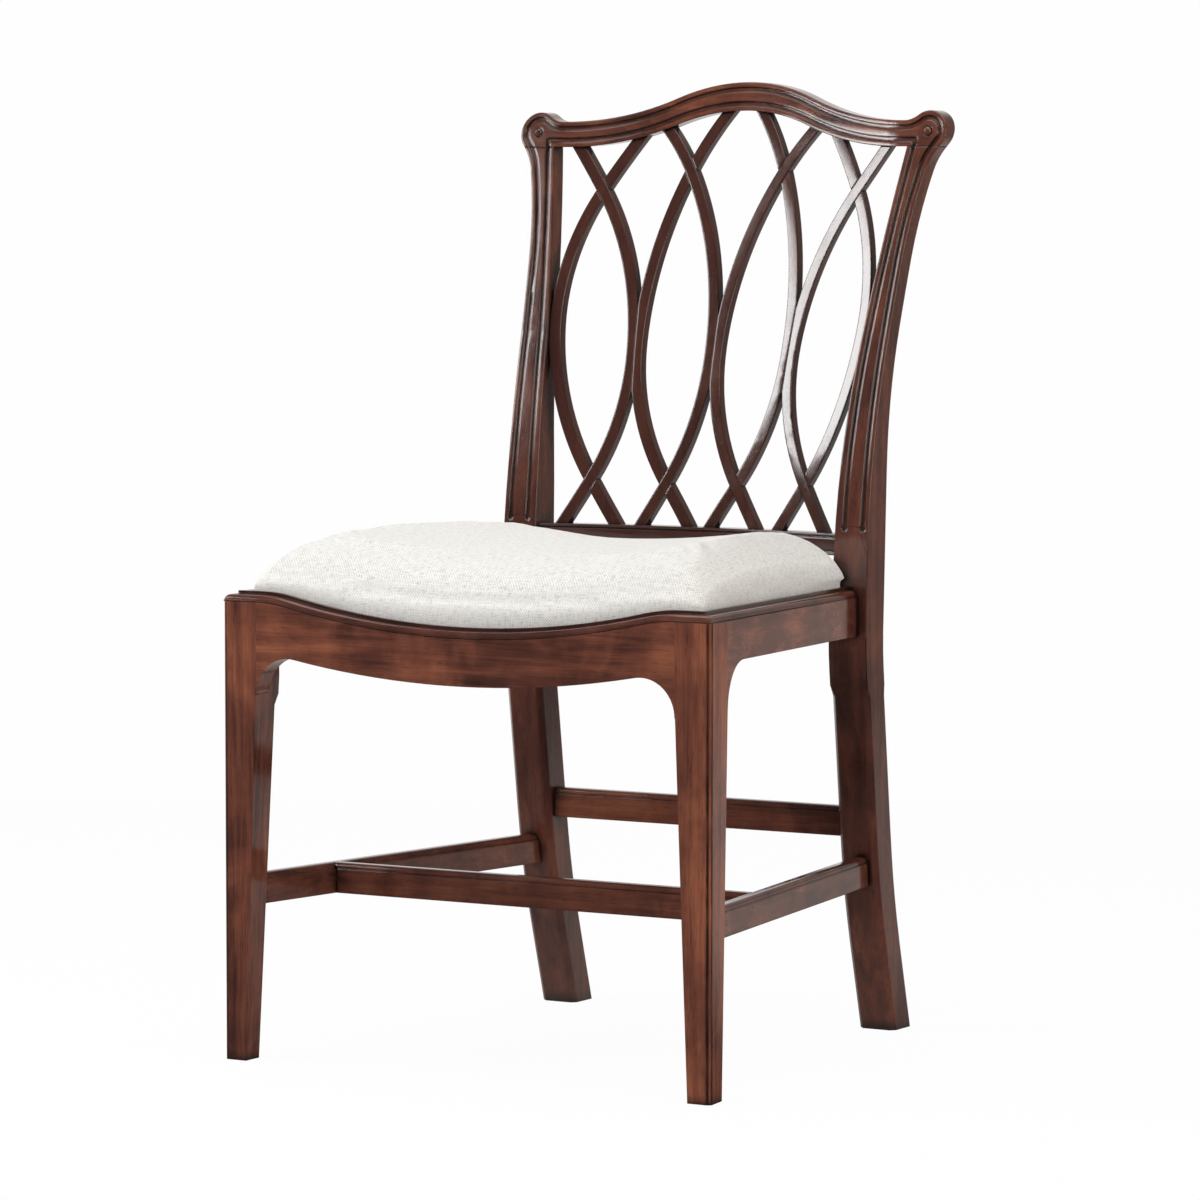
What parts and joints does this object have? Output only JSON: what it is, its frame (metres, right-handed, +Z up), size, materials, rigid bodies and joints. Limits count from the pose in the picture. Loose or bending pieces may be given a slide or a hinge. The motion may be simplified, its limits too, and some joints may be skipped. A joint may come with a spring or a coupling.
{
  "type": "dining side chair",
  "caption": "Wooden side chair with an interlaced trellis back, serpentine crest and seat rails, stretchers, and a linen drop-in seat that lifts out.",
  "frame": {"origin": "floor under the middle of the chair's bounding box", "axes": "+Z up, +X to the right seen from the front, the chair faces -Y"},
  "size_m": [0.559, 0.5924, 0.982],
  "materials": {
    "mahogany": "glossy dark reddish brown",
    "block_wood": "bare",
    "seat_frame_wood": "bare",
    "webbing": "woven jute",
    "foam": "open cell foam",
    "linen": "slubby plain weave",
    "dust_cloth": "thin cloth"
  },
  "bodies": {
    "frame": {"front_leg_left": "mahogany", "front_leg_right": "mahogany", "rear_post_left": "mahogany", "rear_post_right": "mahogany", "front_seat_rail": "mahogany", "rear_seat_rail": "mahogany", "side_seat_rail_left": "mahogany", "side_seat_rail_right": "mahogany", "seat_moulding_front": "mahogany", "seat_moulding_left": "mahogany", "seat_moulding_right": "mahogany", "crest_rail": "mahogany", "lower_back_rail": "mahogany", "ear_bosses": "mahogany", "side_stretcher_left": "mahogany", "side_stretcher_right": "mahogany", "cross_stretcher": "mahogany", "rear_stretcher": "mahogany", "corner_block_front_left": "block_wood", "corner_block_front_right": "block_wood", "corner_block_rear_left": "block_wood", "corner_block_rear_right": "block_wood", "trellis_bar_1": "mahogany", "trellis_bar_2": "mahogany", "trellis_bar_3": "mahogany", "trellis_bar_4": "mahogany", "trellis_bar_5": "mahogany", "trellis_bar_6": "mahogany", "trellis_bar_7": "mahogany", "trellis_bar_8": "mahogany"},
    "seat": {"seat_frame_front": "seat_frame_wood", "seat_frame_rear": "seat_frame_wood", "seat_frame_left": "seat_frame_wood", "seat_frame_right": "seat_frame_wood", "seat_webbing": "webbing", "seat_foam": "foam", "seat_cover": "linen", "seat_dust_cover": "dust_cloth"}
  },
  "joints": [
    {"name": "seat_lift", "type": "slide", "parent": "frame", "child": "seat", "axis": [0, 0, 1], "range_m": [0, 0.12]}
  ]
}
